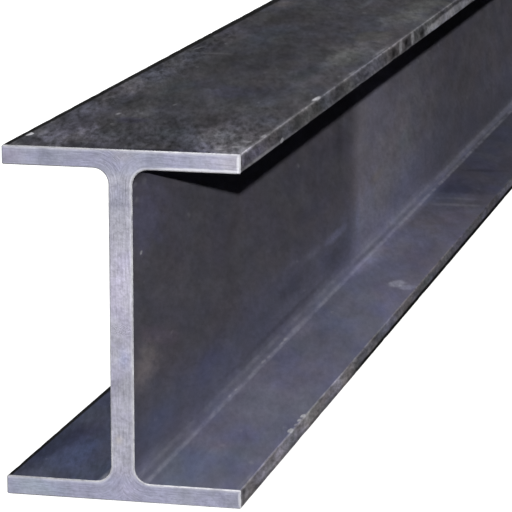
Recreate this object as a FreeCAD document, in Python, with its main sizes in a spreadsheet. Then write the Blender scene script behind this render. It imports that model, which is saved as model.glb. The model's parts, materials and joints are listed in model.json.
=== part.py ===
"""Rolled steel H-beam: one length of stock with square sawn ends, lying on its flange.

X runs across the flanges, Y along the beam and Z up. The origin is the middle of the
underside. All sizes are in millimetres.
"""

import FreeCAD, Part
import Sketcher
import os

# Driving dimensions, each written once. The cells of the size sheet take these names.
SIZES = {
    "flange_width": 200,
    "section_depth": 294,
    "flange_thickness": 16,
    "web_thickness": 20,
    "root_radius": 13,
    "toe_radius": 1.5,
    "beam_length": 6000,
    "saw_edge_break": 1,
}
NODE_NAME = "h_beam"
PARTS_FOLDER = "parts"

# A point counts as lying on a plane or line when it is this near.
SAME_PLACE = 1e-4

# The numbers a sketch uses for the two ends of a line and for its own axes.
START = 1
END = 2
HORIZONTAL_AXIS = -1
VERTICAL_AXIS = -2


def add_size_sheet(doc):
    """Put each driving dimension in a cell as a plain number with an alias."""
    sheet = doc.addObject("Spreadsheet::Sheet", "sizes")
    for row, (alias, value) in enumerate(SIZES.items(), start=1):
        sheet.set(f"A{row}", alias)
        sheet.set(f"B{row}", str(value))
        sheet.setAlias(f"B{row}", alias)
    doc.recompute()
    return sheet


def section_corners(sheet):
    """List the twelve sharp corners of the H, anticlockwise from the right foot."""
    tip = sheet.flange_width / 2
    web = sheet.web_thickness / 2
    under_foot = 0
    over_foot = sheet.flange_thickness
    over_head = sheet.section_depth
    under_head = over_head - sheet.flange_thickness
    right_side = [
        (tip, under_foot),
        (tip, over_foot),
        (web, over_foot),
        (web, under_head),
        (tip, under_head),
        (tip, over_head),
    ]
    left_side = [(-across, height) for across, height in reversed(right_side)]
    return [FreeCAD.Vector(across, height, 0) for across, height in right_side + left_side]


def draw_section(body, sheet):
    """Draw the H on the plane across the beam, fully constrained to the size sheet."""
    sketch = body.newObject("Sketcher::SketchObject", "section")
    across_plane = next(item for item in body.Origin.OriginFeatures if item.Role == "XZ_Plane")
    sketch.AttachmentSupport = [(across_plane, "")]
    sketch.MapMode = "FlatFace"

    def constrain(kind, *where):
        return sketch.addConstraint(Sketcher.Constraint(kind, *where))

    corners = section_corners(sheet)
    sides = [
        sketch.addGeometry(Part.LineSegment(start, end), False)
        for start, end in zip(corners, corners[1:] + corners[:1])
    ]
    for side, next_side in zip(sides, sides[1:] + sides[:1]):
        constrain("Coincident", side, END, next_side, START)

    foot_tip, foot, web, head, head_tip, top = sides[:6]
    left_head_tip, left_head, left_web, left_foot, left_foot_tip, bottom = sides[6:]
    for level_side in (foot, head, left_head, left_foot):
        constrain("Horizontal", level_side)
    for upright_side in (foot_tip, web, head_tip, left_head_tip, left_web, left_foot_tip):
        constrain("Vertical", upright_side)

    # Flanges and web are centred on the upright axis, and the underside is at height zero.
    for flange_face in (bottom, top):
        constrain("Symmetric", flange_face, START, flange_face, END, VERTICAL_AXIS)
    constrain("Symmetric", web, START, left_web, END, VERTICAL_AXIS)
    constrain("PointOnObject", bottom, START, HORIZONTAL_AXIS)

    # Both flanges have the same width and thickness.
    constrain("Equal", bottom, top)
    constrain("Equal", foot_tip, head_tip)
    constrain("Equal", foot_tip, left_head_tip)

    measured = {
        "flange_width": ("DistanceX", bottom, START, bottom, END),
        "web_thickness": ("DistanceX", left_web, END, web, START),
        "flange_thickness": ("DistanceY", foot_tip, START, foot_tip, END),
        "section_depth": ("DistanceY", foot_tip, START, head_tip, END),
    }
    for alias, where in measured.items():
        index = constrain(*where, getattr(sheet, alias))
        sketch.renameConstraint(index, alias)
        sketch.setExpression(f"Constraints.{alias}", f"sizes.{alias}")
    return sketch


def roll_length(body, section):
    """Run the section along the beam, half of the length to each side of the origin."""
    bar = body.newObject("PartDesign::Pad", "bar")
    bar.Profile = section
    bar.SideType = "Symmetric"
    bar.setExpression("Length", "sizes.beam_length")
    return bar


def long_edges_at(shape, across):
    """Name the edges along the beam that lie this far to either side of its middle."""
    return [
        f"Edge{number}"
        for number, edge in enumerate(shape.Edges, start=1)
        if all(abs(abs(vertex.X) - across) < SAME_PLACE for vertex in edge.Vertexes)
        and abs(edge.Vertexes[0].Y - edge.Vertexes[-1].Y) > SAME_PLACE
    ]


def sawn_faces(shape, beam_length):
    """Name the two flat faces at the ends of the beam."""
    return [
        f"Face{number}"
        for number, face in enumerate(shape.Faces, start=1)
        if abs(abs(face.CenterOfMass.y) - beam_length / 2) < SAME_PLACE
    ]


def round_edges(doc, body, name, base, across, radius_alias):
    """Round the long edges at one distance from the middle to a radius from the sheet."""
    doc.recompute()
    rounding = body.newObject("PartDesign::Fillet", name)
    rounding.Base = (base, long_edges_at(base.Shape, across))
    rounding.setExpression("Radius", f"sizes.{radius_alias}")
    return rounding


def break_sawn_edges(doc, body, base, beam_length):
    """Take the sharp corner off all round both sawn ends."""
    doc.recompute()
    edge_break = body.newObject("PartDesign::Chamfer", "saw_edge_break")
    edge_break.Base = (base, sawn_faces(base.Shape, beam_length))
    edge_break.setExpression("Size", "sizes.saw_edge_break")
    return edge_break


def make_beam(doc, sheet):
    """Build the beam: section, length, root radii, rounded toes, then the sawn ends."""
    body = doc.addObject("PartDesign::Body", "beam_body")
    body.Label = NODE_NAME
    bar = roll_length(body, draw_section(body, sheet))
    roots = round_edges(doc, body, "root_fillets", bar, sheet.web_thickness / 2, "root_radius")
    toes = round_edges(doc, body, "toe_rounds", roots, sheet.flange_width / 2, "toe_radius")
    body.Tip = break_sawn_edges(doc, body, toes, sheet.beam_length)
    return body


def check_document(doc, bodies):
    """Stop where a feature failed or a shape is empty, invalid or in several pieces."""
    for item in doc.Objects:
        if "Invalid" in item.State or "Error" in item.State:
            raise RuntimeError(f"{item.Label} failed: {item.State}")
    for body in bodies:
        if body.Shape.isNull() or not body.Shape.isValid():
            raise RuntimeError(f"{body.Label} has no valid shape")
        if len(body.Shape.Solids) != 1:
            raise RuntimeError(f"{body.Label} is not one solid")


def main():
    doc = FreeCAD.newDocument("steel_h_beam")
    bodies = [make_beam(doc, add_size_sheet(doc))]
    doc.recompute()
    check_document(doc, bodies)
    os.makedirs(PARTS_FOLDER, exist_ok=True)
    for body in bodies:
        body.Shape.exportStep(os.path.join(PARTS_FOLDER, f"{body.Label}.step"))


main()
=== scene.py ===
"""Dresses the rolled steel H-beam and sets its studio stage.

All sizes are in metres, in the beam's own frame: X across the flanges, Y along the beam
away from the sawn end that is seen, Z up, with the origin in the middle of the underside.
"""

import json
import math
from functools import partial, partialmethod
from typing import NamedTuple

import bpy
from bpy.props import FloatProperty, FloatVectorProperty, PointerProperty
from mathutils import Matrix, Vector


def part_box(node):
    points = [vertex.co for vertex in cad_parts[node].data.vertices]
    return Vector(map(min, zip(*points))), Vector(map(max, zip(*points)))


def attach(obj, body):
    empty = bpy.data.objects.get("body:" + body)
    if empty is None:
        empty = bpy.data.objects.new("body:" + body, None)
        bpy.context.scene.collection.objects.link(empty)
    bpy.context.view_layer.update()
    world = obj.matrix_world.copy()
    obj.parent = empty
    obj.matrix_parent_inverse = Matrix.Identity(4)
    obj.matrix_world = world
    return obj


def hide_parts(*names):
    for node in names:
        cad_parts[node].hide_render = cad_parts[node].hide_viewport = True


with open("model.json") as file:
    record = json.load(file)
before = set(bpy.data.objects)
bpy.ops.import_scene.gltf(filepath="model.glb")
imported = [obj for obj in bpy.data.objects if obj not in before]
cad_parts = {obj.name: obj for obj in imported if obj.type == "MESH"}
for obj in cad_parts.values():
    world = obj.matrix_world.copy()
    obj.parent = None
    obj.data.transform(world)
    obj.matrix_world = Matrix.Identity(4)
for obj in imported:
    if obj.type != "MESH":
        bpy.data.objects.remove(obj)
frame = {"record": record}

bl_info = {
    "name": "Steel H-beam",
    "version": (1, 0, 0),
    "blender": (4, 5, 0),
    "location": "3D View > Sidebar > H-beam",
    "description": "Rolls a steel H-beam with scaled faces and sawn ends, and sets its stage",
    "category": "Add Mesh",
}

NODE = "h_beam"
BODY = "root"
PICTURE_SIDE = 512
SENSOR_WIDTH = 36.0
CLIP_END = 200.0
MM = 0.001

# How far off its face a mark still shows, in metres
FLANGE_MARK_DEPTH = 0.003
WEB_MARK_DEPTH = 0.008
TIP_MARK_DEPTH = 0.0018
END_MARK_DEPTH = 0.003
# How ragged a mark's edge is, and the reach in millimetres beyond which it grows no more ragged
MARK_RAGGEDNESS = 1.2
RAGGED_REACH = 60

# The mesh: steps round each toe and root, and the least angle of an edge that stays sharp
TOE_STEPS = 3
ROOT_STEPS = 7
SHARP_ANGLE = 0.55
# The nicks in the toes: how fine their noise is by axis, and its values at which a nick starts
# and is deepest
NICK_STRETCH = (170.0, 24.0, 170.0)
NICK_BITE = (0.5, 0.78)

# The lights: how soft the shadows are, and the heights between which the sky light fades in
KEY_SOFTNESS = math.radians(0.7)
FILL_SOFTNESS = math.radians(15)
SKY_FADE = (math.radians(46), math.radians(58))

LOW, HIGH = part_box(NODE)
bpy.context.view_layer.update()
WEB_SIDE = next(
    mount["pos_m"][0]
    for mount in frame["record"]["mounts"]
    if mount["name"] == "web_face_right"
)


# Sizes and colours that a user would change

LengthProperty = partial(FloatProperty, unit="LENGTH")
AngleProperty = partial(FloatProperty, subtype="ANGLE")
ColourProperty = partial(FloatVectorProperty, subtype="COLOR", size=4, min=0, max=1)


class BeamSizes(bpy.types.PropertyGroup):
    """Sizes of the rolled section, the length and the mesh steps."""

    flange_width: LengthProperty(
        name="Flange width", description="Width of both flanges", default=HIGH.x - LOW.x)
    section_depth: LengthProperty(
        name="Section depth", description="Height from the lower flange's underside to the top",
        default=HIGH.z - LOW.z)
    beam_length: LengthProperty(
        name="Length", description="Length between the sawn ends", default=HIGH.y - LOW.y)
    web_thickness: LengthProperty(
        name="Web thickness", description="Thickness of the web", default=2 * WEB_SIDE)
    flange_thickness: LengthProperty(
        name="Flange thickness", description="Thickness of both flanges", default=0.016)
    root_radius: LengthProperty(
        name="Root radius", description="Radius between web and flange", default=0.013)
    toe_radius: LengthProperty(
        name="Toe radius", description="Radius on the corners of the flange tips", default=0.0015)
    saw_edge_break: LengthProperty(
        name="Saw edge break", description="Width of the broken edge round the sawn ends",
        default=0.001)
    girth_step: LengthProperty(
        name="Girth step", description="Longest step of the mesh round the section", default=0.03)
    row_step: LengthProperty(
        name="Row step", description="Step of the mesh along the beam", default=0.006)
    toe_wear: LengthProperty(
        name="Toe wear", description="Deepest nick in the flange tips", default=0.0007)


class BeamFinish(bpy.types.PropertyGroup):
    """Colours of the rolled and sawn faces."""

    outer_colour: ColourProperty(
        name="Outer faces", description="Scale on the outer flange faces",
        default=(0.067, 0.0658, 0.0785, 1))
    web_colour: ColourProperty(
        name="Web", description="Scale on the web", default=(0.178, 0.170, 0.205, 1))
    low_web_colour: ColourProperty(
        name="Low web", description="Bluer scale on the lowest part of the web",
        default=(0.184, 0.186, 0.256, 1))
    inner_colour: ColourProperty(
        name="Right inner faces", description="Scale on the inner flange faces right of the web",
        default=(0.262, 0.265, 0.370, 1))
    left_colour: ColourProperty(
        name="Left inner faces", description="Darker scale on the inner faces left of the web",
        default=(0.088, 0.100, 0.160, 1))
    head_tip_colour: ColourProperty(
        name="Upper tips", description="Worn scale on the upper flange tips",
        default=(0.195, 0.19, 0.21, 1))
    foot_tip_colour: ColourProperty(
        name="Lower tips", description="Lighter worn scale on the lower flange tips",
        default=(0.34, 0.328, 0.36, 1))
    bare_colour: ColourProperty(
        name="Bare marks", description="Scratches, scuffs and flecks where the scale has gone",
        default=(0.85, 0.85, 0.90, 1))
    sawn_colour: ColourProperty(
        name="Sawn flanges", description="Bare steel on the sawn ends of the flanges",
        default=(0.335, 0.34, 0.44, 1))
    sawn_web_colour: ColourProperty(
        name="Sawn web", description="Brighter bare steel on the sawn ends of the web",
        default=(0.40, 0.393, 0.475, 1))
    drawn_turn: FloatVectorProperty(
        name="Drawn turn", description="Turn of the patterns that the rolls drew out",
        subtype="EULER", size=3, default=(math.radians(-12), 0, math.radians(13.5)))
    drawn_out: FloatVectorProperty(
        name="Drawn out", description="How far the rolls drew the patterns out, by axis", size=3,
        default=(1, 4, 1))


class StageSettings(bpy.types.PropertyGroup):
    """Camera, lights and floor."""

    camera_azimuth: AngleProperty(
        name="Camera azimuth", description="Turn of the camera about the upright axis",
        default=math.radians(13.414))
    camera_elevation: AngleProperty(
        name="Camera elevation", description="How far the camera looks down",
        default=math.radians(11.916))
    camera_place: FloatVectorProperty(
        name="Camera place", description="Camera from the near end's foot, in flange widths",
        size=3, default=(3.3646, -11.7452, 3.6085))
    focal_pixels: FloatProperty(
        name="Focal length", description="Focal length in picture pixels", default=3081.0)
    key_azimuth: AngleProperty(
        name="Key azimuth", description="Where the key light stands, as for the camera",
        default=math.radians(13.8))
    key_elevation: AngleProperty(
        name="Key elevation", description="Height of the key light above the horizon",
        default=math.radians(13.3))
    key_strength: FloatProperty(
        name="Key strength", description="Strength of the key light", default=3.6)
    fill_azimuth: AngleProperty(
        name="Fill azimuth", description="Where the fill light stands, as for the camera",
        default=math.radians(235))
    fill_elevation: AngleProperty(
        name="Fill elevation", description="Height of the fill light above the horizon",
        default=math.radians(15))
    fill_strength: FloatProperty(
        name="Fill strength", description="Strength of the fill light", default=1.2)
    sky_strength: FloatProperty(
        name="Sky strength", description="Brightness of the soft light overhead", default=0.9)
    side_strength: FloatProperty(
        name="Side strength", description="Brightness of the soft light from the sides",
        default=0.004)
    floor_glow: FloatProperty(
        name="Floor glow", description="Light that the floor gives off itself", default=0.75)
    floor_radius: LengthProperty(
        name="Floor radius", description="Radius of the round floor", default=150.0)


# Building node trees

class Nodes:
    """Adds nodes to a tree, and sets or links their inputs."""

    def __init__(self, tree):
        self.tree = tree

    def add(self, kind, inputs=None, **settings):
        node = self.tree.nodes.new(kind)
        for name, value in settings.items():
            setattr(node, name, value)
        for key, value in (inputs or {}).items():
            self.feed(node.inputs[key], value)
        return node

    def feed(self, socket, value):
        if isinstance(value, bpy.types.NodeSocket):
            self.tree.links.new(value, socket)
        elif value is not None:
            socket.default_value = value

    def math(self, operation, *values, clamp=False):
        node = self.add("ShaderNodeMath", dict(enumerate(values)),
                        operation=operation, use_clamp=clamp)
        return node.outputs[0]

    plus = partialmethod(math, "ADD")
    minus = partialmethod(math, "SUBTRACT")
    times = partialmethod(math, "MULTIPLY")
    times_plus = partialmethod(math, "MULTIPLY_ADD")
    over = partialmethod(math, "DIVIDE")
    most = partialmethod(math, "MAXIMUM")
    least = partialmethod(math, "MINIMUM")
    absolute = partialmethod(math, "ABSOLUTE")

    def vector(self, operation, *values):
        node = self.add("ShaderNodeVectorMath", dict(enumerate(values)), operation=operation)
        return node.outputs["Value" if operation in {"LENGTH", "DISTANCE"} else "Vector"]

    def combine(self, x=0.0, y=0.0, z=0.0):
        return self.add("ShaderNodeCombineXYZ", {"X": x, "Y": y, "Z": z}).outputs[0]

    def separate(self, vector):
        return self.add("ShaderNodeSeparateXYZ", {"Vector": vector}).outputs

    def ramp(self, value, start, end, low=0.0, high=1.0, smooth=True):
        """Maps start..end to low..high, held at both ends."""
        node = self.add(
            "ShaderNodeMapRange",
            {"Value": value, "From Min": start, "From Max": end, "To Min": low, "To Max": high},
            interpolation_type="SMOOTHSTEP" if smooth else "LINEAR",
        )
        return node.outputs["Result"]

    def spread(self, pattern):
        """Spreads a pattern that keeps near 0.5 over 0 to 1."""
        return self.ramp(pattern, 0.3, 0.7, smooth=False)

    def noise(self, place, scale=1.0, detail=4.0, roughness=0.5, stretch=None):
        """Noise about 0.5, finer along an axis where stretch is larger."""
        if stretch is not None:
            place = self.vector("MULTIPLY", place, stretch)
        node = self.add(
            "ShaderNodeTexNoise",
            {"Vector": place, "Scale": scale, "Detail": detail, "Roughness": roughness},
        )
        return node.outputs[0]

    def mix(self, factor, first, second, blend="MIX"):
        node = self.add("ShaderNodeMix", {"Factor": factor, 6: first, 7: second},
                        data_type="RGBA", blend_type=blend)
        return node.outputs[2]


def new_group(name, kind, inputs, outputs):
    """Makes a node group with named sockets. Gives its builder, input sockets and output node."""
    tree = bpy.data.node_groups.new(name, kind)
    for in_out, sockets in (("INPUT", inputs), ("OUTPUT", outputs)):
        for label, (socket_type, default) in sockets.items():
            socket = tree.interface.new_socket(label, in_out=in_out, socket_type=socket_type)
            if default is not None:
                socket.default_value = default
    nodes = Nodes(tree)
    given = nodes.add("NodeGroupInput").outputs
    result = nodes.add("NodeGroupOutput")
    return nodes, given, result


FLOAT, VECTOR = "NodeSocketFloat", "NodeSocketVector"
GEOMETRY, MATERIAL = "NodeSocketGeometry", "NodeSocketMaterial"


# Marks on the rolled faces

class FaceMark(NamedTuple):
    """One soft-edged mark on a face, in millimetres.

    along counts from the near sawn end, or across the end from its middle. place counts across
    the beam from its middle on the flanges, and up from the floor elsewhere. tone lightens or
    darkens the face, and bare shows bright steel. tint turns it blue or, below zero, olive, and
    green turns it green or, below zero, red. lean shifts place with along, and core is the
    share of the reach that has no fading. beyond lengthens the reach away from the near end.
    """

    face: str
    along: float
    place: float
    reach_along: float
    reach_place: float
    tone: float = 0.0
    bare: float = 0.0
    tint: float = 0.0
    green: float = 0.0
    lean: float = 0.0
    core: float = 0.0
    beyond: float = 1.0


on_top = partial(FaceMark, "top")
on_upper_tip = partial(FaceMark, "upper tip")
on_web = partial(FaceMark, "web")
on_foot = partial(FaceMark, "foot")
on_left_foot = partial(FaceMark, "left foot")
on_lower_tip = partial(FaceMark, "lower tip")
on_end = partial(FaceMark, "end")

SCALE_MARKS = (
    # Top: broad light and dark areas that cooling left
    on_top(480, 92, 640, 46, tone=0.32, core=0.5),
    on_top(14, 84, 50, 46, tone=2.15),
    on_top(6, 44, 8, 62, tone=-0.55, tint=1.0, core=0.3),
    on_top(84, 64, 84, 44, tone=1.2),
    on_top(570, 74, 130, 32, tone=1.15, tint=-1.1, green=0.6),
    on_top(698, 66, 54, 24, tint=-2.8),
    on_top(845, 72, 100, 34, tone=0.80, tint=-1.2, green=0.4),
    on_top(958, 74, 80, 34, tone=1.05, tint=-1.9, green=0.9),
    on_top(436, 57, 72, 18, tone=-0.52, green=1.8),
    on_top(50, -62, 96, 52, tone=1.6),
    on_top(190, -82, 62, 26, tone=0.78, tint=0.3),
    on_top(330, -76, 140, 34, tone=0.66, core=0.2),
    on_top(476, -74, 50, 20, tone=0.52),
    on_top(545, -62, 26, 40, tone=0.26),
    on_top(176, -34, 40, 28, tone=0.85),
    on_top(142, -30, 22, 20, tone=-0.26, tint=2.2, green=-1.0),
    on_top(165, 24, 56, 36, tone=-0.24),
    on_top(86, 16, 44, 22, tone=0.02, green=1.6),
    on_top(330, -38, 62, 18, tone=-0.12, tint=0.7, green=1.8),
    on_top(312, 18, 62, 34, tone=-0.16, tint=1.5, green=-0.6),
    on_top(510, -16, 200, 62, tone=-0.34, core=0.3),
    on_top(690, -38, 100, 26, tone=-0.14, tint=0.5, green=1.9),
    on_top(760, 16, 260, 34, tone=-0.12, tint=0.4, green=-0.4),
    on_top(836, -54, 110, 34, tone=-0.42, tint=-0.5, green=0.3),
    on_top(934, -78, 44, 22, tone=0.46, tint=-1.4),
    on_top(945, 8, 80, 8, tone=0.14, green=1.0),
    # Top: scratches, flecks and scuffs
    on_top(55, -93.3, 9, 3.6, bare=1.0, core=0.7),
    on_top(172, -50, 9, 3.2, bare=0.30),
    on_top(231, -15.6, 9, 2.4, bare=0.22),
    on_top(578, -84, 26, 3.0, bare=0.18, lean=0.20),
    on_top(545, -58, 9, 26, bare=0.07, lean=-0.5),
    on_top(34, 88, 9, 5, bare=0.34),
    on_top(20, 78, 6, 6, bare=0.34),
    on_top(60, 93, 9, 4, bare=0.30),
    on_top(88, 98.0, 12, 3.0, bare=0.45),
    on_top(292, 98.0, 20, 3.4, bare=0.75, core=0.4),
    on_top(452, 97.5, 30, 3.0, bare=0.22),
    on_top(600, 96.5, 50, 3.4, bare=0.20),
    on_top(690, 92, 60, 6, tone=-0.40),
    # Upper tip: strokes over its full height, and the dark scale between them
    on_upper_tip(6, 287, 12, 12, tone=1.2),
    on_upper_tip(50, 287, 80, 12, tone=0.22, tint=1.2, green=-0.5),
    on_upper_tip(70, 280.0, 130, 2.8, bare=0.46, core=0.3),
    on_upper_tip(430, 280.4, 260, 2.4, bare=0.16),
    on_upper_tip(148, 280.4, 7, 3.0, bare=1.0, core=0.5),
    on_upper_tip(270, 286, 150, 5.0, tone=-0.18, green=0.5),
    on_upper_tip(560, 286, 110, 12, tone=0.26, tint=0.1),
    on_upper_tip(510, 284, 16, 3, tone=-0.5, tint=0.6),
    on_upper_tip(645, 286, 18, 10, tone=-0.85),
    on_upper_tip(681, 286, 11, 10, bare=0.55, lean=-0.2, core=0.3),
    on_upper_tip(712, 287, 18, 8, tone=-1.0),
    on_upper_tip(747, 287, 12, 11, bare=0.62, lean=-0.2, core=0.3),
    on_upper_tip(803, 285, 24, 6, tone=-0.9),
    on_upper_tip(975, 283, 175, 7.0, tone=1.5, bare=0.32, core=0.6),
    on_upper_tip(960, 288, 26, 3, tone=-0.6),
    # Web: flecks, then soft areas and the lines along its foot
    on_web(26, 204.6, 4.5, 2.0, bare=0.75, core=0.4),
    on_web(34, 178, 6, 2.0, bare=0.08),
    on_web(121, 116, 7, 2.2, bare=0.14),
    on_web(10, 264, 9, 3, bare=0.16),
    on_web(14, 251, 8, 4, bare=0.20),
    on_web(38, 262, 11, 4, bare=0.16),
    on_web(110, 170, 240, 150, tone=0.20),
    on_web(44, 232, 84, 50, tone=0.50, tint=1.6, green=-0.4),
    on_web(36, 108, 66, 25, tone=0.95, tint=-1.3, green=-0.3),
    on_web(84, 122, 96, 11, tone=0.24, green=-2.2, lean=-0.26),
    on_web(90, 52, 110, 24, tint=0.7, green=0.7),
    on_web(40, 24, 100, 12, tone=0.36),
    on_web(560, 29.5, 310, 5.5, tone=-0.24),
    on_web(610, 21, 120, 3.5, bare=0.08),
    on_web(560, 79, 220, 6, tone=0.15, lean=-0.03),
    on_web(560, 55, 180, 16, tone=-0.24),
    on_web(795, 66.5, 78, 9, tone=0.60, tint=0.6, lean=-0.03, core=0.2),
    on_web(670, 70, 100, 7, tone=0.30, lean=-0.03),
    on_web(800, 44, 110, 22, tone=-0.30),
    on_web(700, 118, 140, 20, tone=-0.10, tint=0.5),
    on_web(745, 160, 150, 80, tone=-0.08),
    on_web(936, 124, 84, 260, tone=1.04, beyond=7.2),
    on_web(1110, 48, 260, 34, tone=-0.14, tint=0.2),
    on_web(916, 66, 20, 70, tone=0.14, tint=0.5),
    on_web(812, 168, 36, 60, tone=-0.20),
    on_web(1040, 56, 170, 36, tone=-0.04, tint=-0.8),
    on_web(250, 58, 100, 32, tint=0.8),
    on_web(1130, 180, 130, 22, tone=-0.18),
    on_web(745, 182, 90, 16, tone=0.18),
    on_web(1152, 172, 9, 26, bare=0.05),
    on_web(1190, 104, 90, 22, tone=0.06, green=1.2),
    on_web(1010, 90, 60, 10, tint=-1.0),
    on_web(1620, 40, 520, 60, tone=-0.18, tint=-0.5, core=0.3),
    on_web(2050, 25, 600, 46, tone=-0.26),
    # Lower flange, right of the web
    on_foot(60, 50, 130, 70, tone=0.02, tint=0.3, green=1.0),
    on_foot(300, 60, 270, 60, tone=0.14),
    on_foot(560, 44, 110, 26, tone=-0.17, green=0.5),
    on_foot(690, 26, 120, 20, tone=-0.24),
    on_foot(690, 84, 60, 22, tone=0.05, tint=0.6),
    on_foot(960, 86, 190, 56, tone=-0.23),
    on_foot(1000, 60, 330, 90, tint=-0.2, green=-0.6),
    on_foot(1760, 60, 900, 220, tone=-0.60, core=0.3),
    on_foot(1334, 62, 20, 110, tone=-0.12, tint=0.5, beyond=6.0),
    on_foot(1485, 60, 14, 44, tone=-0.12),
    on_foot(1180, 60, 170, 60, tone=-0.04, tint=-0.8, green=-0.5),
    on_foot(165, 54, 70, 30, tint=0.8),
    on_foot(786, 90, 16, 12, bare=0.32, tint=1.2, core=0.3),
    on_foot(799, 76, 23, 12, bare=0.42, tint=1.2, core=0.4),
    on_foot(1250, 60, 13, 46, bare=0.11),
    on_foot(1290, 56, 11, 46, bare=0.08),
    on_foot(131, 52, 9, 3.4, bare=0.16),
    on_foot(131, 52, 28, 20, tint=-0.4, green=-1.2),
    on_foot(40, 19, 60, 4, bare=0.10),
    on_foot(300, 20, 60, 5, bare=0.12),
    on_foot(293, 18.2, 8, 1.6, bare=0.30, core=0.3),
    on_foot(317, 18.4, 9, 1.7, bare=0.34, core=0.3),
    on_foot(426, 18.0, 12, 2.0, bare=0.36, core=0.3),
    on_foot(447, 18.5, 10, 1.6, bare=0.30, core=0.3),
    on_foot(501, 18.4, 13, 2.1, bare=0.38, core=0.3),
    on_foot(519, 18.2, 11, 1.8, bare=0.30, core=0.3),
    on_foot(565, 18.5, 100, 5, bare=0.20, core=0.3),
    on_foot(915, 21, 110, 17, tone=0.62),
    on_foot(1180, 21, 280, 10, tone=0.32),
    on_foot(640, 12.5, 280, 4.5, tone=-0.26),
    on_foot(30, 97.0, 60, 3.0, bare=0.12),
    on_foot(192, 97.8, 8, 2.6, bare=1.0, core=0.7),
    on_foot(212, 97.8, 5, 1.6, bare=0.7, core=0.4),
    on_foot(228, 97.6, 7, 2.2, bare=0.9, core=0.45),
    on_foot(243, 97.8, 8, 2.6, bare=1.0, core=0.7),
    # Lower tip
    on_lower_tip(190, 9, 290, 30, tone=0.52, core=0.85),
    on_lower_tip(10, 8, 7, 12, tone=-0.7),
    on_lower_tip(104, 7, 10, 3.6, bare=0.42, core=0.3),
    on_lower_tip(200, 14, 9, 4, bare=0.42),
    on_lower_tip(250, 13, 12, 4, bare=0.42),
    on_lower_tip(510, 3, 34, 3, tone=-0.8),
    on_lower_tip(330, 10, 60, 7, green=-0.8),
    on_lower_tip(620, 11, 130, 9, tone=-0.08, tint=1.3),
    on_lower_tip(840, 10, 80, 8, tone=-0.16, green=1.2),
    on_lower_tip(1150, 10, 420, 14, tone=-0.22, tint=0.6, core=0.4),
    # Lower flange, left of the web
    on_left_foot(30, -36, 46, 26, tone=0.20, green=0.8),
    on_left_foot(160, -76, 44, 20, tone=-0.22, tint=0.6, green=-1.2),
    on_left_foot(110, -90, 150, 22, tone=-0.42),
    on_left_foot(94, -58, 56, 20, tone=0.32, green=0.6),
    on_left_foot(84, -74, 110, 44, tint=1.2),
)

# The near sawn end
END_MARKS = (
    on_end(-92, 286, 22, 14, green=-0.7),
    on_end(-64, 286, 32, 14, tone=-0.17, tint=0.25),
    on_end(26, 286, 20, 12, tone=-0.08, tint=0.25),
    on_end(3, 289, 12, 8, tone=0.10, tint=-0.6),
    on_end(94, 286, 40, 16, tone=0.30, tint=-0.5, green=-0.4),
    on_end(-2, 256, 14, 24, tone=-0.14, tint=0.4),
    on_end(0, 180, 30, 56, tone=0.25, green=-0.3),
    on_end(-30, 286, 14, 12, tone=-0.08),
    on_end(0, 98, 14, 16, tone=-0.06),
    on_end(2, 121, 9, 13, tone=-0.06, tint=0.7, green=0.4),
    on_end(-3, 52, 6, 7, tone=0.04, tint=-1.0),
    on_end(-72, 8, 38, 14, tone=0.10, green=0.9),
    on_end(4, 10, 20, 14, tone=0.12, green=-0.4),
    on_end(88, 8, 26, 14, tone=-0.16),
    on_end(-36, 9, 22, 12, tone=-0.10),
    on_end(68, 279.4, 56, 2.2, bare=0.75, core=0.4),
    on_end(98.4, 286, 2.0, 10, bare=0.75, core=0.4),
    on_end(98.8, 9, 1.4, 8, bare=0.5, core=0.4),
)


# Shader groups

# Where masks fade in, in metres: at the first place a mask is 0, and at the second it is 1.
# A third and a fourth number are the values at those places, where they aren't 0 and 1.
# A strip's edge is given as a share of its width, and a root line's place as a share of the
# root radius.
LEFT_SIDE = (0.002, -0.002)
LOW_WEB = (0.10, 0.05)
HEAD = (0.12, 0.18)
ROUGH_END = (0.30, 0.05)
ROUGH_LEFT_STRIP = (-0.05, -0.08)
ROUGH_LEFT_RUN = (0.8, 0.6)
TOE_LINE = (0.0045, 0.0005)
FOOT_WEAR_RUN = (0.28, 0.55, 0.24, 0.08)
UNDER_LINE_UP = 0.0018
UNDER_LINE = (0.0019, 0.0006)
LEFT_STRIP_WIDTH = (0.0, 1.0, 0.0056, 0.0105)
LEFT_STRIP_EDGE = (1.15, 0.85)
LOW_STRIP_HEIGHT = (0.4, 1.0, 0.0045, 0.0058)
LOW_STRIP_EDGE = (1.25, 0.75)
LOW_STRIP_RUN = (0.42, 0.56, 0.4, 1.0)
ROOT_INSIDE = (-0.004, -0.002)
ROOT_FLAT_PLACE = 0.27
ROOT_FLAT_LINE = (0.0034, 0.0004)
ROOT_FLAT_HEIGHT = (0.0035, 0.002)
ROOT_UP_PLACE = 0.4
ROOT_UP_LINE = (0.0025, 0.0004)


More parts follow.
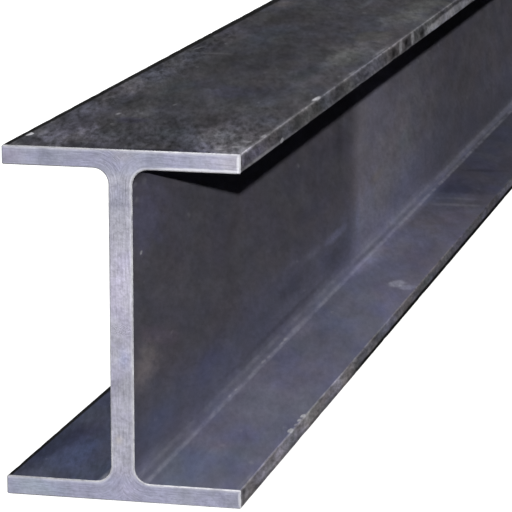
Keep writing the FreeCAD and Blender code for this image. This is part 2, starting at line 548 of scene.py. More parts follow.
def rolled_faces_group():
    """Masks of the beam's faces and edges, worked out from the place on the section."""
    nodes, given, result = new_group(
        "Rolled faces", "ShaderNodeTree",
        {"Place": (VECTOR, None), "Half Width": (FLOAT, 0.1), "Depth": (FLOAT, 0.3),
         "Half Length": (FLOAT, 3.0), "Half Web": (FLOAT, 0.01), "Flange": (FLOAT, 0.016),
         "Root": (FLOAT, 0.013), "Toe": (FLOAT, 0.0015)},
        {name: (FLOAT, None) for name in
         ("Web", "Low Web", "Outer", "Tip", "Head", "Left", "Rough", "Upper Toe",
          "Under Line", "Dark Edge", "Root Line")})
    x, y, z = nodes.separate(given["Place"])
    across = nodes.absolute(x)
    left = nodes.ramp(x, *LEFT_SIDE)
    right = nodes.minus(1.0, left)
    from_top = nodes.minus(given["Depth"], z)
    height = nodes.least(z, from_top)
    along = nodes.plus(given["Half Length"], y)
    # The scale is roughest near the sawn ends and along the left edge.
    from_end = nodes.minus(given["Half Length"], nodes.absolute(y))
    near_left = nodes.times(
        nodes.ramp(x, *ROUGH_LEFT_STRIP), nodes.ramp(from_end, *ROUGH_LEFT_RUN))
    rough = nodes.most(nodes.ramp(from_end, *ROUGH_END), near_left)

    web_edge = nodes.plus(given["Half Web"], given["Root"])
    web = nodes.ramp(across, web_edge, given["Half Web"])
    low_web = nodes.ramp(z, *LOW_WEB)
    head = nodes.ramp(z, *HEAD)
    outer = nodes.ramp(height, nodes.times(given["Toe"], 0.6), 0.0)
    inside_tip = nodes.minus(given["Half Width"], across)
    tip = nodes.ramp(inside_tip, given["Toe"], nodes.times(given["Toe"], 0.35))

    # The right tips wear lighter towards their upper toe, and the head's shows a line below.
    head_gap = nodes.absolute(from_top)
    foot_gap = nodes.absolute(nodes.minus(given["Flange"], z))
    upper_gap = nodes.minus(head_gap, foot_gap)
    upper_gap = nodes.times_plus(upper_gap, head, foot_gap)
    from_toe = nodes.vector("LENGTH", nodes.combine(inside_tip, upper_gap, 0.0))
    upper_toe = nodes.times(nodes.ramp(from_toe, *TOE_LINE), right)
    foot_wear = nodes.ramp(along, *FOOT_WEAR_RUN)
    upper_toe = nodes.times(upper_toe, nodes.most(head, foot_wear))
    under_gap = nodes.minus(nodes.minus(given["Flange"], from_top), UNDER_LINE_UP)
    under_line = nodes.ramp(nodes.absolute(under_gap), *UNDER_LINE)
    under_line = nodes.times(nodes.times(under_line, tip), right)

    # The left edges and the foot of the lower tips stay black, wider away from the sawn end.
    strip = nodes.ramp(along, *LEFT_STRIP_WIDTH, smooth=False)
    strip = nodes.times(strip, nodes.times_plus(head, 0.25, 0.75))
    left_strip = nodes.ramp(nodes.over(inside_tip, strip), *LEFT_STRIP_EDGE)
    left_strip = nodes.times(left_strip, left)
    low_reach = nodes.ramp(along, *LOW_STRIP_HEIGHT, smooth=False)
    low_strip = nodes.ramp(nodes.over(z, low_reach), *LOW_STRIP_EDGE)
    low_strip = nodes.times(tip, low_strip)
    low_strip = nodes.times(low_strip, nodes.ramp(along, *LOW_STRIP_RUN))
    dark_edge = nodes.most(left_strip, low_strip)

    # Two light lines run along each root: one near the flange and a fainter one up the curve.
    above_flange = nodes.minus(height, given["Flange"])
    inside = nodes.ramp(above_flange, *ROOT_INSIDE)
    flat_line = nodes.minus(web_edge, nodes.times(given["Root"], ROOT_FLAT_PLACE))
    flat_line = nodes.absolute(nodes.minus(across, flat_line))
    near_flange = nodes.ramp(above_flange, *ROOT_FLAT_HEIGHT)
    flat_line = nodes.times(nodes.ramp(flat_line, *ROOT_FLAT_LINE), near_flange)
    up_line = nodes.minus(above_flange, nodes.times(given["Root"], ROOT_UP_PLACE))
    up_line = nodes.ramp(nodes.absolute(up_line), *ROOT_UP_LINE)
    up_line = nodes.times(up_line, 0.5)
    root_line = nodes.times(nodes.most(flat_line, up_line), inside)

    for label, value in (
            ("Web", web), ("Low Web", low_web), ("Outer", outer), ("Tip", tip), ("Head", head),
            ("Left", left), ("Rough", rough), ("Upper Toe", upper_toe),
            ("Under Line", under_line), ("Dark Edge", dark_edge), ("Root Line", root_line)):
        nodes.feed(result.inputs[label], value)
    return nodes.tree


def grain_group():
    """Fine grain: a value about 0.5 and a height for the bump."""
    nodes, given, result = new_group(
        "Steel grain", "ShaderNodeTree",
        {"Place": (VECTOR, None), "Grain Scale": (FLOAT, 500.0)},
        {"Value": (FLOAT, None), "Height": (FLOAT, None)})
    fine = nodes.noise(given["Place"], given["Grain Scale"], detail=3.0, roughness=0.6)
    coarse_scale = nodes.times(given["Grain Scale"], 0.35)
    coarse = nodes.noise(given["Place"], coarse_scale, detail=2.0, roughness=0.5)
    value = nodes.times_plus(fine, 0.55, nodes.times(coarse, 0.45))
    nodes.feed(result.inputs["Value"], nodes.ramp(value, 0.32, 0.68, smooth=False))
    nodes.feed(result.inputs["Height"], value)
    return nodes.tree


def patches_group():
    """Mottle, clouds, tints and flecks in the scale, drawn out along the beam by the rolls."""
    nodes, given, result = new_group(
        "Scale patches", "ShaderNodeTree",
        {"Place": (VECTOR, None), "Turn": (VECTOR, (0, 0, 0)), "Drawn Out": (VECTOR, (1, 4, 1))},
        {name: (FLOAT, None) for name in
         ("Mottle", "Clouds", "Broad", "Hue", "Green", "Flecks", "Broken", "Height")})
    drawn = nodes.add(
        "ShaderNodeMapping",
        {"Vector": given["Place"], "Rotation": given["Turn"], "Scale": given["Drawn Out"]},
        vector_type="TEXTURE").outputs[0]
    mottle = nodes.noise(drawn, 180.0, detail=4.0, roughness=0.68, stretch=(1.2, 0.6, 1.2))
    nodes.feed(result.inputs["Mottle"], nodes.spread(mottle))
    nodes.feed(result.inputs["Height"], mottle)
    for label, scale, detail, roughness in (
            ("Clouds", 52.0, 4.0, 0.6), ("Broad", 14.0, 3.0, 0.55)):
        pattern = nodes.noise(drawn, scale, detail, roughness)
        nodes.feed(result.inputs[label], nodes.spread(pattern))
    for label, scale, shift in (
            ("Hue", 30.0, (3.1, 1.7, 5.3)), ("Green", 24.0, (7.7, 4.1, 0.9))):
        pattern = nodes.noise(nodes.vector("ADD", drawn, shift), scale, detail=2.0)
        nodes.feed(result.inputs[label], nodes.ramp(pattern, 0.35, 0.65, -1.0, 1.0))
    cells = nodes.add("ShaderNodeTexVoronoi", {"Vector": drawn, "Scale": 34.0})
    nodes.feed(result.inputs["Flecks"], nodes.ramp(cells.outputs["Distance"], 0.11, 0.04))
    broken = nodes.noise(drawn, 70.0, detail=5.0, roughness=0.7)
    nodes.feed(result.inputs["Broken"], broken)
    return nodes.tree


def mark_group():
    """One mark: 1 in its core, falling to 0 at its reach, with an edge that noise breaks up."""
    nodes, given, result = new_group(
        "Mark", "ShaderNodeTree",
        {"Along": (FLOAT, None), "Place": (FLOAT, None), "Off Face": (FLOAT, None),
         "Mark Along": (FLOAT, None), "Mark Place": (FLOAT, None), "Reach Along": (FLOAT, 1.0),
         "Reach Place": (FLOAT, 1.0), "Beyond": (FLOAT, 1.0), "Lean": (FLOAT, 0.0),
         "Broken": (FLOAT, 0.5), "Ragged": (FLOAT, 1.0), "Core": (FLOAT, 0.0)},
        {"Mask": (FLOAT, None)})
    along = nodes.minus(given["Along"], given["Mark Along"])
    place = nodes.minus(given["Place"], given["Mark Place"])
    place = nodes.minus(place, nodes.times(along, given["Lean"]))
    place = nodes.over(place, given["Reach Place"])
    stretch = nodes.minus(given["Beyond"], 1.0)
    stretch = nodes.times_plus(nodes.math("GREATER_THAN", along, 0.0), stretch, 1.0)
    along = nodes.over(nodes.over(along, given["Reach Along"]), stretch)
    square = nodes.times_plus(place, place, given["Off Face"])
    square = nodes.times_plus(along, along, square)
    noise = nodes.minus(given["Broken"], 0.5)
    distance = nodes.times_plus(noise, given["Ragged"], nodes.math("SQRT", square))
    nodes.feed(result.inputs["Mask"], nodes.ramp(distance, 1.0, given["Core"]))
    return nodes.tree


# Materials

# What the fullest tint multiplies a colour by
BLUER = (0.92, 0.95, 1.16, 1)
MORE_OLIVE = (1.055, 1.01, 0.88, 1)
GREENER = (0.94, 1.03, 1.0, 1)
REDDER = (1.05, 0.97, 1.0, 1)

# How much mottle, clouds and broad patches change each kind of face
PATTERN_SHARES = {
    "inner": (0.26, 0.22, 0.14, 1), "left": (0.55, 0.4, 0.2, 1), "web": (0.28, 0.20, 0.12, 1),
    "outer": (0.92, 0.60, 0.34, 1), "head_tip": (1.2, 1.2, 0.2, 1),
    "foot_tip": (1.0, 0.8, 0.2, 1)}

# How bare the steel is on worn places: as a noise rises from the first number to the second,
# it rises from the third to the fourth
TOE_BARE = (0.3, 0.7, 0.11, 0.24)
UNDER_LINE_BARE = (0.35, 0.6, 0.12, 0.40)
ROOT_LINE_BARE = (0.3, 0.65, 0.04, 0.23)
FLECK_BARE = (0.45, 0.6, 0.0, 0.14)
RIM_BARE = (0.35, 0.65, 0.13, 0.38)
# How far inside the sawn end's edge its rim fades out and is full, in metres
RIM_REACH = (0.0032, 0.0013)


def new_material(name):
    """Makes a material. Gives it, its builder, its Principled node and the place it shades."""
    material = bpy.data.materials.new(name)
    material.use_nodes = True
    nodes = Nodes(material.node_tree)
    shader = next(node for node in material.node_tree.nodes if node.type == "BSDF_PRINCIPLED")
    place = nodes.add("ShaderNodeTexCoord").outputs["Object"]
    return material, nodes, shader, place


def place_group(nodes, tree, inputs):
    return nodes.add("ShaderNodeGroup", inputs, node_tree=tree).outputs


def finish_shader(nodes, shader, colour, roughness, metallic, height, bump_depth):
    """Feeds a shader what varies over the face, and sets what doesn't."""
    nodes.feed(shader.inputs["Base Color"], colour)
    nodes.feed(shader.inputs["Roughness"], roughness)
    shader.inputs["Metallic"].default_value = metallic
    bump = nodes.add("ShaderNodeBump", {"Height": height, "Distance": bump_depth})
    nodes.feed(shader.inputs["Normal"], bump.outputs["Normal"])


def face_masks(nodes, place, groups, sizes):
    return place_group(nodes, groups["faces"], {
        "Place": place, "Half Width": sizes.flange_width / 2, "Depth": sizes.section_depth,
        "Half Length": sizes.beam_length / 2, "Half Web": sizes.web_thickness / 2,
        "Flange": sizes.flange_thickness, "Root": sizes.root_radius, "Toe": sizes.toe_radius})


def by_face(nodes, faces, inner, left, web, outer, head_tip, foot_tip):
    """Picks a colour, or three shares, for the kind of face that a place lies on."""
    picked = nodes.mix(faces["Left"], inner, left)
    picked = nodes.mix(faces["Web"], picked, web)
    picked = nodes.mix(faces["Outer"], picked, outer)
    tip = nodes.mix(faces["Head"], foot_tip, head_tip)
    return nodes.mix(faces["Tip"], picked, tip)


def tinted(nodes, colour, tint, green):
    """Turns a colour blue or olive by the sign of tint, and green or red by that of green."""
    for amount, more, less in ((tint, BLUER, MORE_OLIVE), (green, GREENER, REDDER)):
        for share, turn in ((amount, more), (nodes.times(amount, -1.0), less)):
            turn = nodes.mix(nodes.most(share, 0.0), (1, 1, 1, 1), turn)
            colour = nodes.mix(1.0, colour, turn, "MULTIPLY")
    return colour


def toned(nodes, colour, tone):
    return nodes.mix(1.0, colour, nodes.combine(tone, tone, tone), "MULTIPLY")


def varied(nodes, tone, pattern, share):
    """Multiplies a tone by one plus a share of a pattern that lies about 0.5."""
    swing = nodes.minus(pattern, 0.5)
    return nodes.times(tone, nodes.times_plus(swing, share, 1.0))


def add_marks(nodes, place, broken, groups, sizes, marks):
    """Places marks. Gives the sums of what they change."""
    x, y, z = nodes.separate(place)
    along = nodes.plus(y, sizes.beam_length / 2)
    tip = sizes.flange_width / 2
    # For each face: how far along it a place is, how far across or up it, the axis that points
    # off it, where on that axis it lies, and how far off it a mark still shows.
    on_face = {
        "top": (along, x, z, sizes.section_depth, FLANGE_MARK_DEPTH),
        "foot": (along, x, z, sizes.flange_thickness, FLANGE_MARK_DEPTH),
        "left foot": (along, x, z, sizes.flange_thickness, FLANGE_MARK_DEPTH),
        "web": (along, z, x, sizes.web_thickness / 2, WEB_MARK_DEPTH),
        "upper tip": (along, z, x, tip, TIP_MARK_DEPTH),
        "lower tip": (along, z, x, tip, TIP_MARK_DEPTH),
        "end": (x, z, along, 0.0, END_MARK_DEPTH),
    }
    off_face = {}
    for face in dict.fromkeys(mark.face for mark in marks):
        _, _, off, level, depth = on_face[face]
        off = nodes.over(nodes.minus(off, level), depth)
        off_face[face] = nodes.times(off, off)
    sums = {"tone": 0.0, "bare": 0.0, "tint": 0.0, "green": 0.0}
    for mark in marks:
        # A broad mark is not more ragged than a small one.
        longest = mark.reach_along * mark.beyond
        ragged = MARK_RAGGEDNESS * min(1.0, RAGGED_REACH / longest) ** 0.5
        mask = place_group(nodes, groups["mark"], {
            "Along": on_face[mark.face][0], "Place": on_face[mark.face][1],
            "Off Face": off_face[mark.face], "Mark Along": mark.along * MM,
            "Mark Place": mark.place * MM, "Reach Along": mark.reach_along * MM,
            "Reach Place": mark.reach_place * MM, "Beyond": mark.beyond, "Lean": mark.lean,
            "Broken": broken, "Ragged": ragged, "Core": mark.core})["Mask"]
        for kind in sums:
            strength = getattr(mark, kind)
            if strength:
                sums[kind] = nodes.times_plus(mask, strength, sums[kind])
    return sums


def mill_scale_material(groups, sizes, finish):
    """Dark rolled skin with mottle, blue and olive patches, worn edges and scuffs."""
    material, nodes, shader, place = new_material("mill_scale")
    faces = face_masks(nodes, place, groups, sizes)
    patches = place_group(nodes, groups["patches"], {
        "Place": place, "Turn": finish.drawn_turn, "Drawn Out": finish.drawn_out})
    marks = add_marks(nodes, place, patches["Broken"], groups, sizes, SCALE_MARKS)

    web = nodes.mix(faces["Low Web"], tuple(finish.web_colour), tuple(finish.low_web_colour))
    colour = by_face(nodes, faces, inner=tuple(finish.inner_colour),
                     left=tuple(finish.left_colour), web=web, outer=tuple(finish.outer_colour),
                     head_tip=tuple(finish.head_tip_colour),
                     foot_tip=tuple(finish.foot_tip_colour))
    hue_share = nodes.times_plus(faces["Web"], -0.2, 0.45)
    tint = nodes.times_plus(faces["Root Line"], 0.35, marks["tint"])
    colour = tinted(
        nodes, colour,
        tint=nodes.times_plus(patches["Hue"], hue_share, tint),
        green=nodes.times_plus(patches["Green"], hue_share, marks["green"]))

    shares = nodes.separate(by_face(nodes, faces, **PATTERN_SHARES))
    rougher = nodes.times_plus(faces["Rough"], 0.8, -0.25)
    rougher = nodes.times_plus(rougher, faces["Outer"], 1.0)
    tone = nodes.plus(marks["tone"], 1.0)
    tone = varied(nodes, tone, patches["Mottle"], nodes.times(shares["X"], rougher))
    tone = varied(nodes, tone, patches["Clouds"], nodes.times(shares["Y"], rougher))
    tone = varied(nodes, tone, patches["Broad"], shares["Z"])
    colour = toned(nodes, colour, tone)

    # Where the scale is worn or scraped off, the steel shows.
    broken, mottle = patches["Broken"], patches["Mottle"]
    toe = nodes.times(faces["Upper Toe"], nodes.ramp(broken, *TOE_BARE))
    under = nodes.times(faces["Under Line"], nodes.ramp(broken, *UNDER_LINE_BARE))
    near = nodes.times_plus(faces["Rough"], 0.6, 0.4)
    toe, under = nodes.times(toe, near), nodes.times(under, near)
    line = nodes.times(faces["Root Line"], nodes.ramp(broken, *ROOT_LINE_BARE))
    flecks = nodes.times(patches["Flecks"], nodes.ramp(broken, *FLECK_BARE))
    bare = nodes.most(nodes.most(toe, under), nodes.most(line, flecks))
    bare = nodes.most(bare, marks["bare"])
    bare = nodes.times(bare, nodes.ramp(mottle, 0, 1, 0.75, 1.25), clamp=True)
    colour = nodes.mix(bare, colour, tuple(finish.bare_colour))
    colour = nodes.mix(nodes.times(faces["Dark Edge"], 0.97), colour, (0, 0, 0, 1))
    finish_shader(
        nodes, shader, colour, roughness=nodes.ramp(patches["Clouds"], 0, 1, 0.5, 0.62),
        metallic=0.15, height=patches["Height"], bump_depth=0.0004)
    shader.inputs["Specular IOR Level"].default_value = 0.3
    return material


def sawn_steel_material(groups, sizes, finish):
    """Bare steel of the sawn ends: lines that follow the section, grain, patches and a rim."""
    material, nodes, shader, place = new_material("sawn_steel")
    grain = place_group(nodes, groups["grain"], {"Place": place, "Grain Scale": 420.0})
    x, _, z = nodes.separate(place)
    across = nodes.absolute(x)
    from_top = nodes.minus(sizes.section_depth, z)
    height = nodes.least(z, from_top)

    # Depth into the steel from the web's side, the root and the flange's inner face
    beyond_web = nodes.minus(sizes.web_thickness / 2 + sizes.root_radius, across)
    below_root = nodes.minus(sizes.flange_thickness + sizes.root_radius, height)
    depth = nodes.vector("LENGTH", nodes.combine(
        nodes.most(beyond_web, 0.0), nodes.most(below_root, 0.0), 0.0))
    depth = nodes.minus(depth, sizes.root_radius)

    # The rolled steel's lines keep to that depth: along the flanges, round the roots, up the web.
    run = nodes.times(nodes.minus(across, height), 0.09)
    quarter = nodes.times_plus(nodes.math("SIGN", x), 3.0, nodes.ramp(z, 0.14, 0.15))
    lines = nodes.noise(nodes.combine(depth, run, quarter), 560.0, detail=3.0, roughness=0.6)
    lines = nodes.spread(lines)
    at_root = nodes.least(beyond_web, below_root)
    line_share = nodes.ramp(at_root, -0.03, 0.0, 0.15, 0.27)

    inside = nodes.ramp(height, sizes.flange_thickness, sizes.flange_thickness * 1.6)
    web_share = nodes.ramp(across, sizes.web_thickness * 0.7, sizes.web_thickness / 2)
    web_share = nodes.times(web_share, inside)
    patch = nodes.noise(place, 46.0, detail=3.0, roughness=0.55)
    hue = nodes.noise(nodes.vector("ADD", place, (2.3, 0.7, 4.9)), 42.0, detail=2.0)
    hue = nodes.ramp(hue, 0.35, 0.65, -0.2, 0.2)
    marks = add_marks(nodes, place, patch, groups, sizes, END_MARKS)

    tone = nodes.plus(marks["tone"], 1.0)
    tone = varied(nodes, tone, grain["Value"], nodes.ramp(web_share, 0, 1, 0.24, 0.44))
    tone = varied(nodes, tone, lines, line_share)
    tone = varied(nodes, tone, nodes.ramp(patch, 0.3, 0.7), 0.22)
    colour = nodes.mix(web_share, tuple(finish.sawn_colour), tuple(finish.sawn_web_colour))
    colour = tinted(nodes, colour, tint=nodes.plus(marks["tint"], hue),
                    green=nodes.minus(marks["green"], hue))
    colour = toned(nodes, colour, tone)

    # A lighter rim inside the edges, but not under and beside the upper left of the section
    upper_left = nodes.times(nodes.ramp(x, *LEFT_SIDE), nodes.ramp(z, 0.05, 0.06))
    to_inner = nodes.plus(depth, nodes.times(upper_left, 0.05))
    to_tip = nodes.minus(sizes.flange_width / 2, x)
    to_edge = nodes.least(nodes.least(from_top, to_tip), to_inner)
    rim = nodes.times(nodes.ramp(to_edge, *RIM_REACH), nodes.ramp(patch, *RIM_BARE))
    bare = nodes.most(rim, marks["bare"])
    colour = nodes.mix(bare, colour, tuple(finish.bare_colour))
    finish_shader(
        nodes, shader, colour, roughness=nodes.ramp(grain["Value"], 0, 1, 0.42, 0.56),
        metallic=0.3, height=nodes.times_plus(lines, 0.5, grain["Height"]), bump_depth=0.0002)
    return material


def saw_burr_material(groups):
    """Bright thin burr on the broken edge round the sawn ends."""
    material, nodes, shader, place = new_material("saw_burr")
    grain = place_group(nodes, groups["grain"], {"Place": place, "Grain Scale": 200.0})
    colour = nodes.mix(grain["Value"], (0.42, 0.42, 0.48, 1), (0.95, 0.95, 0.98, 1))
    worn = nodes.ramp(nodes.separate(place)["X"], -0.08, 0.06, 0.58, 1.0)
    finish_shader(
        nodes, shader, toned(nodes, colour, worn),
        roughness=nodes.ramp(grain["Value"], 0, 1, 0.35, 0.5), metallic=0.15,
        height=grain["Height"], bump_depth=0.0003)
    return material


# The beam's mesh

def socket_name(prop):
    """The name on the beam's tree of a size in BeamSizes."""
    return prop.replace("_", " ").title()


def pick_by_index(nodes, index, values):
    """Gives the value that stands at each point's number in a list."""
    node = nodes.add("GeometryNodeIndexSwitch", data_type="FLOAT")
    while len(node.index_switch_items) < len(values):
        node.index_switch_items.new()
    nodes.feed(node.inputs["Index"], index)
    for number, value in enumerate(values):
        nodes.feed(node.inputs[number + 1], value)
    return node.outputs[0]


def section_curve(nodes, given):
    """The H outline with root and toe radii, as a closed curve in its own XY plane."""
    index = nodes.add("GeometryNodeInputIndex").outputs[0]
    tip = nodes.times(given["Flange Width"], 0.5)
    web = nodes.times(given["Web Thickness"], 0.5)
    left_tip = nodes.times(tip, -1.0)
    left_web = nodes.times(web, -1.0)
    foot = given["Flange Thickness"]
    top = given["Section Depth"]
    head = nodes.minus(top, foot)
    across = pick_by_index(nodes, index, [
        tip, tip, web, web, tip, tip, left_tip, left_tip, left_web, left_web, left_tip, left_tip])
    height = pick_by_index(nodes, index, [
        0.0, foot, foot, head, head, top, top, head, head, foot, foot, 0.0])
    # The sweep stands the section on its head, so it is drawn half a turn round.
    turned = nodes.vector("MULTIPLY", nodes.combine(across, height, 0.0), (-1.0, -1.0, 1.0))
    corners = nodes.add("GeometryNodePoints", {"Count": 12, "Position": turned})
    curve = nodes.add("GeometryNodePointsToCurves", {"Points": corners.outputs[0]})
    closed = nodes.add(
        "GeometryNodeSetSplineCyclic", {"Geometry": curve.outputs[0], "Cyclic": True})

    root, toe = given["Root Radius"], given["Toe Radius"]
    radius = pick_by_index(nodes, index, [
        toe, toe, root, root, toe, toe, toe, toe, root, root, toe, toe])
    is_root = nodes.math("GREATER_THAN", radius, toe)
    steps = nodes.times_plus(is_root, ROOT_STEPS - TOE_STEPS, TOE_STEPS)
    rounded = nodes.add(
        "GeometryNodeFilletCurve",
        {"Curve": closed.outputs[0], "Count": steps, "Radius": radius, "Limit Radius": False},
        mode="POLY")

    place = nodes.add("GeometryNodeInputPosition").outputs[0]
    following = nodes.add(
        "GeometryNodeOffsetPointInCurve",
        {"Point Index": nodes.add("GeometryNodeInputIndex").outputs[0], "Offset": 1})
    next_place = nodes.add(
        "GeometryNodeFieldAtIndex",
        {"Index": following.outputs["Point Index"]}, data_type="FLOAT_VECTOR")
    nodes.feed(next_place.inputs["Value"], place)
    side = nodes.vector("DISTANCE", place, next_place.outputs[0])
    cuts = nodes.math("FLOOR", nodes.over(side, given["Girth Step"]))
    return nodes.add(
        "GeometryNodeSubdivideCurve", {"Curve": rounded.outputs[0], "Cuts": cuts}).outputs[0]


def length_curve(nodes, given):
    """A straight run of points along the beam, with one extra row at each broken edge."""
    index = nodes.add("GeometryNodeInputIndex").outputs[0]
    half = nodes.times(given["Beam Length"], 0.5)
    inner = nodes.minus(half, given["Saw Edge Break"])
    span = nodes.times(inner, 2.0)
    rows = nodes.math("CEIL", nodes.over(span, given["Row Step"]))
    step = nodes.over(span, rows)
    ahead = nodes.times_plus(nodes.minus(index, 1.0), step, nodes.times(inner, -1.0))
    ahead = nodes.most(ahead, nodes.times(half, -1.0))
    ahead = nodes.least(ahead, half)
    points = nodes.add(
        "GeometryNodePoints",
        {"Count": nodes.plus(rows, 3.0), "Position": nodes.combine(0.0, ahead, 0.0)})
    return nodes.add("GeometryNodePointsToCurves", {"Points": points.outputs[0]}).outputs[0]


def rolled_beam_tree():
    """Sweeps the section along the beam, breaks its sawn edges and wears its toes."""
    nodes, given, result = new_group(
        "Rolled beam", "GeometryNodeTree",
        {"Geometry": (GEOMETRY, None),
         **{socket_name(prop): (FLOAT, 0.01) for prop in BeamSizes.__annotations__},
         "Scale Material": (MATERIAL, None), "Sawn Material": (MATERIAL, None),
         "Burr Material": (MATERIAL, None)},
        {"Geometry": (GEOMETRY, None)})

    tangent = nodes.add("GeometryNodeInputTangent").outputs[0]
    section = nodes.add(
        "GeometryNodeCaptureAttribute", {"Geometry": section_curve(nodes, given)},
        domain="POINT")
    section.capture_items.new("VECTOR", "Outward")
    nodes.feed(section.inputs[1], nodes.vector("CROSS_PRODUCT", tangent, (0.0, 0.0, 1.0)))
    sweep = nodes.add(
        "GeometryNodeCurveToMesh",
        {"Curve": length_curve(nodes, given), "Profile Curve": section.outputs[0],
         "Fill Caps": True})
    drawn = nodes.separate(section.outputs[1])
    outward = nodes.combine(drawn["X"], 0.0, nodes.times(drawn["Y"], -1.0))

    place = nodes.add("GeometryNodeInputPosition").outputs[0]
    x, y, _ = nodes.separate(place)
    from_tip = nodes.minus(nodes.times(given["Flange Width"], 0.5), nodes.absolute(x))
    from_end = nodes.minus(nodes.times(given["Beam Length"], 0.5), nodes.absolute(y))
    at_end = nodes.math("LESS_THAN", from_end, nodes.times(given["Saw Edge Break"], 0.5))
    edge_break = nodes.times(at_end, given["Saw Edge Break"])
    on_tip = nodes.math("LESS_THAN", from_tip, nodes.times(given["Toe Radius"], 1.01))
    nicks = nodes.noise(place, detail=3.0, roughness=0.6, stretch=NICK_STRETCH)
    wear = nodes.times(nodes.ramp(nicks, *NICK_BITE), given["Toe Wear"])
    # The flat faces beside a toe stay flat.
    sideways = nodes.ramp(nodes.absolute(drawn["X"]), 0.1, 0.6)
    wear = nodes.times(wear, nodes.times(on_tip, sideways))
    inset = nodes.times(nodes.most(edge_break, wear), -1.0)
    offset = nodes.vector("MULTIPLY", outward, nodes.combine(inset, inset, inset))
    worn = nodes.add("GeometryNodeSetPosition", {"Geometry": sweep.outputs[0], "Offset": offset})

    smooth = nodes.add("GeometryNodeSetShadeSmooth", {"Geometry": worn.outputs[0]}, domain="FACE")
    angle = nodes.add("GeometryNodeInputMeshEdgeAngle").outputs[0]
    sharp = nodes.add(
        "GeometryNodeSetShadeSmooth",
        {"Geometry": smooth.outputs[0], "Shade Smooth": False,
         "Selection": nodes.math("GREATER_THAN", angle, SHARP_ANGLE)}, domain="EDGE")
    real = nodes.add("GeometryNodeRealizeInstances", {"Geometry": sharp.outputs[0]})

    facing = nodes.absolute(nodes.separate(
        nodes.add("GeometryNodeInputNormal").outputs[0])["Y"])
    geometry = real.outputs[0]
    # Each material goes on the faces that look along the beam at least so much.
    for label, share in (
            ("Scale Material", -1.0), ("Burr Material", 0.3), ("Sawn Material", 0.9)):
        painted = nodes.add(
            "GeometryNodeSetMaterial",
            {"Geometry": geometry, "Selection": nodes.math("GREATER_THAN", facing, share),
             "Material": given[label]})
        geometry = painted.outputs[0]
    nodes.feed(result.inputs["Geometry"], geometry)
    return nodes.tree


def plain_mesh(maker, name):
    """Turns what an object's modifiers make into the mesh of a new plain object."""
    graph = bpy.context.evaluated_depsgraph_get()
    mesh = bpy.data.meshes.new_from_object(maker.evaluated_get(graph))
    mesh.name = name
    piece = bpy.data.objects.new(name, mesh)
    bpy.context.scene.collection.objects.link(piece)
    old_mesh = maker.data
    bpy.data.objects.remove(maker)
    bpy.data.meshes.remove(old_mesh)
    return piece


class BEAM_OT_roll(bpy.types.Operator):
    """Roll the beam: sweep its section, wear its toes, saw its ends and give it its finish"""

    bl_idname = "beam.roll"
    bl_label = "Roll the beam"

    def execute(self, context):
        sizes, finish = context.scene.beam_sizes, context.scene.beam_finish
        groups = {"faces": rolled_faces_group(), "grain": grain_group(),
                  "patches": patches_group(), "mark": mark_group()}
        given = {
            **{socket_name(prop): getattr(sizes, prop) for prop in BeamSizes.__annotations__},
            "Scale Material": mill_scale_material(groups, sizes, finish),
            "Sawn Material": sawn_steel_material(groups, sizes, finish),
            "Burr Material": saw_burr_material(groups),
        }
        maker = bpy.data.objects.new("beam_maker", bpy.data.meshes.new("beam_maker"))
        context.scene.collection.objects.link(maker)
        sweep = maker.modifiers.new("Rolled beam", "NODES")
        sweep.node_group = rolled_beam_tree()
        for item in sweep.node_group.interface.items_tree:
            if item.in_out == "INPUT" and item.name in given:
                sweep[item.identifier] = given[item.name]
        even = maker.modifiers.new("Even shading", "WEIGHTED_NORMAL")
        even.keep_sharp = True
        beam = plain_mesh(maker, "rolled_beam")
        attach(beam, BODY)
        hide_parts(NODE)
        return {"FINISHED"}


# The studio

def floor_material(stage):
    """A pale floor that is lit a little from below, so that shadows on it stay soft."""
    material, nodes, shader, place = new_material("studio_floor")
    cloud = nodes.noise(place, 3.0, detail=2.0)
    shade = nodes.ramp(cloud, 0.3, 0.7, 0.88, 0.9)
    nodes.feed(shader.inputs["Base Color"], nodes.combine(shade, shade, shade))
    shader.inputs["Roughness"].default_value = 0.9
    shader.inputs["Specular IOR Level"].default_value = 0.0
    shader.inputs["Emission Color"].default_value = (1, 1, 1, 1)
    shader.inputs["Emission Strength"].default_value = stage.floor_glow
    return material


def studio_world(stage):
    """White to the camera. Its light on the beam comes only from high overhead."""
    world = bpy.data.worlds.new("studio")
    world.use_nodes = True
    nodes = Nodes(world.node_tree)
    background = next(node for node in world.node_tree.nodes if node.type == "BACKGROUND")
    direction = nodes.add("ShaderNodeTexCoord").outputs["Generated"]
    height = nodes.separate(direction)["Z"]
    start, end = map(math.sin, SKY_FADE)
    overhead = nodes.ramp(height, start, end, stage.side_strength, stage.sky_strength)
    seen = nodes.add("ShaderNodeLightPath").outputs["Is Camera Ray"]
    strength = nodes.most(overhead, seen)
    background.inputs["Color"].default_value = (1, 1, 1, 1)
    nodes.feed(background.inputs["Strength"], strength)
    return world


def add_sun(name, azimuth, elevation, strength, softness):
    """A far light. Azimuth and elevation say where it stands, as for the camera."""
    light = bpy.data.lights.new(name, "SUN")
    light.energy = strength
    light.angle = softness
    sun = bpy.data.objects.new(name, light)
    bpy.context.scene.collection.objects.link(sun)
    sun.rotation_euler = (math.pi / 2 - elevation, 0, azimuth)


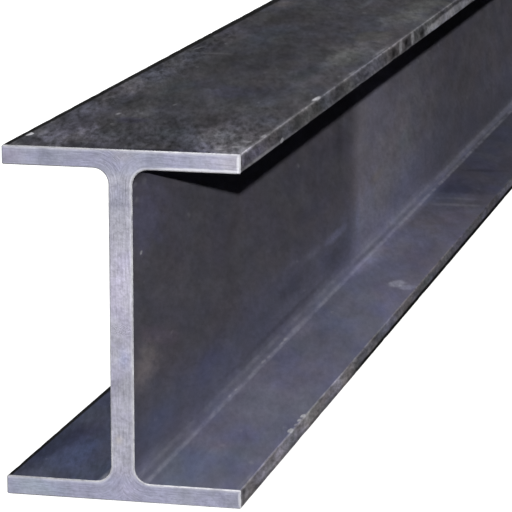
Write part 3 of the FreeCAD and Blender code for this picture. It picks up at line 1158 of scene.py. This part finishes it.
class STAGE_OT_set(bpy.types.Operator):
    """Set the stage: a pale floor, soft studio light and the camera"""

    bl_idname = "stage.set"
    bl_label = "Set the stage"

    def execute(self, context):
        stage, sizes = context.scene.stage_settings, context.scene.beam_sizes
        scene = context.scene
        scene.view_settings.view_transform = "Standard"
        scene.world = studio_world(stage)

        bpy.ops.mesh.primitive_circle_add(
            vertices=64, radius=stage.floor_radius, fill_type="NGON", location=(0, 0, 0))
        floor = context.object
        floor.name = "studio_floor"
        floor.data.materials.append(floor_material(stage))
        floor.visible_diffuse = False
        floor.visible_glossy = False

        add_sun("key_light", stage.key_azimuth, stage.key_elevation, stage.key_strength,
                KEY_SOFTNESS)
        add_sun("fill_light", stage.fill_azimuth, stage.fill_elevation, stage.fill_strength,
                FILL_SOFTNESS)

        data = bpy.data.cameras.new("photo_camera")
        data.sensor_width = SENSOR_WIDTH
        data.lens = stage.focal_pixels * SENSOR_WIDTH / PICTURE_SIDE
        data.clip_end = CLIP_END
        camera = bpy.data.objects.new("photo_camera", data)
        scene.collection.objects.link(camera)
        near_foot = Vector((0, LOW.y, LOW.z))
        camera.location = near_foot + Vector(stage.camera_place) * sizes.flange_width
        camera.rotation_euler = (
            math.pi / 2 - stage.camera_elevation, 0, stage.camera_azimuth)
        scene.camera = camera
        return {"FINISHED"}


class BEAM_PT_panel(bpy.types.Panel):
    """Lists the beam's sizes and colours and its two operators"""

    bl_label = "Steel H-beam"
    bl_idname = "BEAM_PT_panel"
    bl_space_type = "VIEW_3D"
    bl_region_type = "UI"
    bl_category = "H-beam"

    def draw(self, context):
        scene = context.scene
        for title, settings in (("Sizes", scene.beam_sizes), ("Finish", scene.beam_finish),
                                ("Stage", scene.stage_settings)):
            box = self.layout.box()
            box.label(text=title)
            for name in settings.__annotations__:
                box.prop(settings, name)
        self.layout.operator(BEAM_OT_roll.bl_idname)
        self.layout.operator(STAGE_OT_set.bl_idname)


CLASSES = (BeamSizes, BeamFinish, StageSettings, BEAM_OT_roll, STAGE_OT_set, BEAM_PT_panel)


def register():
    for each in CLASSES:
        bpy.utils.register_class(each)
    bpy.types.Scene.beam_sizes = PointerProperty(type=BeamSizes)
    bpy.types.Scene.beam_finish = PointerProperty(type=BeamFinish)
    bpy.types.Scene.stage_settings = PointerProperty(type=StageSettings)


def unregister():
    del bpy.types.Scene.stage_settings
    del bpy.types.Scene.beam_finish
    del bpy.types.Scene.beam_sizes
    for each in reversed(CLASSES):
        bpy.utils.unregister_class(each)


def main():
    register()
    bpy.ops.beam.roll()
    bpy.ops.stage.set()


if __name__ == "__main__":
    main()
